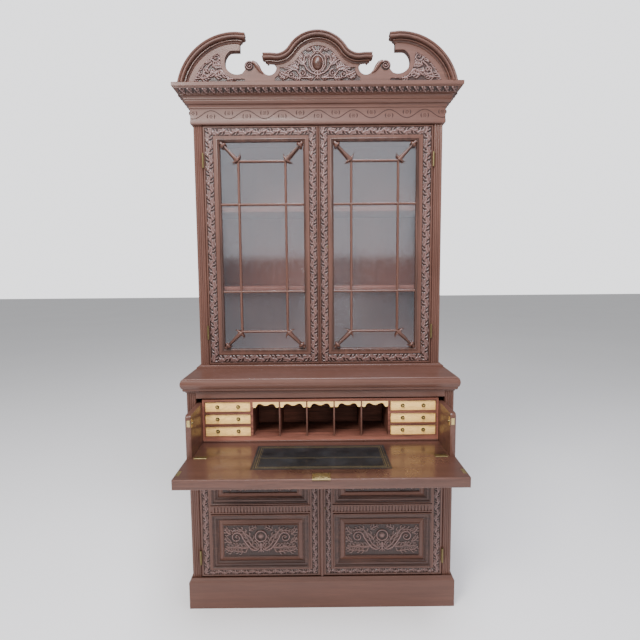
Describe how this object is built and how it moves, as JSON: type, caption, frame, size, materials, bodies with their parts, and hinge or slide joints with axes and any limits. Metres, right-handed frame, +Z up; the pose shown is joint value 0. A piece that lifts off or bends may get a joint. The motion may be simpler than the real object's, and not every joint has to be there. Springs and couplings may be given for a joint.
{
  "type": "secretary desk",
  "caption": "Two-stage carved oak secretary desk: glazed bookcase with a swan-neck pediment over a pull-out fall-front writing drawer and panelled cupboards.",
  "frame": {"origin": "middle of the footprint at rest, on the floor", "axes": "+X to the desk's right as seen from the front, +Y towards its back, +Z up; the front faces -Y"},
  "size_m": [1.258, 0.882, 2.4948],
  "materials": {
    "carved_oak": "waxed red-brown carved oak",
    "inner_oak": "dark stained oak",
    "maple": "polished bird's-eye maple",
    "leather": "black tooled leather",
    "brass": "aged brass",
    "glass": "clear old glass"
  },
  "bodies": {
    "case": {"plinth": "carved_oak", "base_left_side": "carved_oak", "base_right_side": "carved_oak", "base_back": "inner_oak", "base_bottom": "inner_oak", "cupboard_shelf": "inner_oak", "dust_board": "inner_oak", "frieze_rail": "carved_oak", "base_top": "carved_oak", "upper_left_side": "carved_oak", "upper_right_side": "carved_oak", "upper_back": "inner_oak", "upper_bottom": "carved_oak", "upper_top": "inner_oak", "lower_bookshelf": "inner_oak", "upper_bookshelf": "inner_oak", "frieze_board": "carved_oak", "cornice": "carved_oak", "pediment_board": "carved_oak", "centre_arch": "carved_oak", "left_horn": "carved_oak", "right_horn": "carved_oak", "lower_left_top_hinge": "brass", "lower_left_bottom_hinge": "brass", "lower_right_top_hinge": "brass", "lower_right_bottom_hinge": "brass", "upper_left_top_hinge": "brass", "upper_left_bottom_hinge": "brass", "upper_right_top_hinge": "brass", "upper_right_bottom_hinge": "brass"},
    "secretary_drawer": {"drawer_left_wing": "carved_oak", "drawer_right_wing": "carved_oak", "drawer_bottom": "carved_oak", "drawer_back": "inner_oak", "drawer_leather": "leather", "left_flap_hinge": "brass", "right_flap_hinge": "brass", "pigeonhole_case": "inner_oak", "pigeonhole_valances": "maple"},
    "fall_flap": {"fall_flap": "carved_oak", "flap_leather": "leather", "flap_lock": "brass"},
    "lower_left_door": {"lower_left_door_frame": "carved_oak", "lower_left_door_upper_panel": "carved_oak", "lower_left_door_lower_panel": "carved_oak"},
    "upper_left_door": {"upper_left_door_frame": "carved_oak", "upper_left_door_glass": "glass", "upper_left_glazing_bars": "carved_oak"},
    "left_bottom_small_drawer": {"left_bottom_small_drawer": "maple"},
    "left_middle_small_drawer": {"left_middle_small_drawer": "maple"},
    "left_top_small_drawer": {"left_top_small_drawer": "maple"},
    "lower_right_door": {"lower_right_door_frame": "carved_oak", "lower_right_door_upper_panel": "carved_oak", "lower_right_door_lower_panel": "carved_oak"},
    "upper_right_door": {"upper_right_door_frame": "carved_oak", "upper_right_door_glass": "glass", "upper_right_glazing_bars": "carved_oak"},
    "right_bottom_small_drawer": {"right_bottom_small_drawer": "maple"},
    "right_middle_small_drawer": {"right_middle_small_drawer": "maple"},
    "right_top_small_drawer": {"right_top_small_drawer": "maple"}
  },
  "joints": [
    {"name": "secretary_drawer_slide", "type": "slide", "parent": "case", "child": "secretary_drawer", "axis": [0, 1, 0], "range_m": [0, 0.209]},
    {"name": "fall_flap_hinge", "type": "hinge", "parent": "secretary_drawer", "child": "fall_flap", "pos_m": [0, -0.25, 0.745], "axis": [-1, 0, 0], "range_deg": [0, 90]},
    {"name": "lower_left_door_hinge", "type": "hinge", "parent": "case", "child": "lower_left_door", "pos_m": [-0.5275, -0.086, 0.4], "axis": [0, 0, -1], "range_deg": [0, 105]},
    {"name": "upper_left_door_hinge", "type": "hinge", "parent": "case", "child": "upper_left_door", "pos_m": [-0.517, 0.133, 1.58], "axis": [0, 0, -1], "range_deg": [0, 105]},
    {"name": "left_bottom_small_drawer_slide", "type": "slide", "parent": "secretary_drawer", "child": "left_bottom_small_drawer", "axis": [0, -1, 0], "range_m": [0, 0.14]},
    {"name": "left_middle_small_drawer_slide", "type": "slide", "parent": "secretary_drawer", "child": "left_middle_small_drawer", "axis": [0, -1, 0], "range_m": [0, 0.14]},
    {"name": "left_top_small_drawer_slide", "type": "slide", "parent": "secretary_drawer", "child": "left_top_small_drawer", "axis": [0, -1, 0], "range_m": [0, 0.14]},
    {"name": "lower_right_door_hinge", "type": "hinge", "parent": "case", "child": "lower_right_door", "pos_m": [0.5275, -0.086, 0.4], "axis": [0, 0, 1], "range_deg": [0, 105]},
    {"name": "upper_right_door_hinge", "type": "hinge", "parent": "case", "child": "upper_right_door", "pos_m": [0.517, 0.133, 1.58], "axis": [0, 0, 1], "range_deg": [0, 105]},
    {"name": "right_bottom_small_drawer_slide", "type": "slide", "parent": "secretary_drawer", "child": "right_bottom_small_drawer", "axis": [0, -1, 0], "range_m": [0, 0.14]},
    {"name": "right_middle_small_drawer_slide", "type": "slide", "parent": "secretary_drawer", "child": "right_middle_small_drawer", "axis": [0, -1, 0], "range_m": [0, 0.14]},
    {"name": "right_top_small_drawer_slide", "type": "slide", "parent": "secretary_drawer", "child": "right_top_small_drawer", "axis": [0, -1, 0], "range_m": [0, 0.14]}
  ]
}
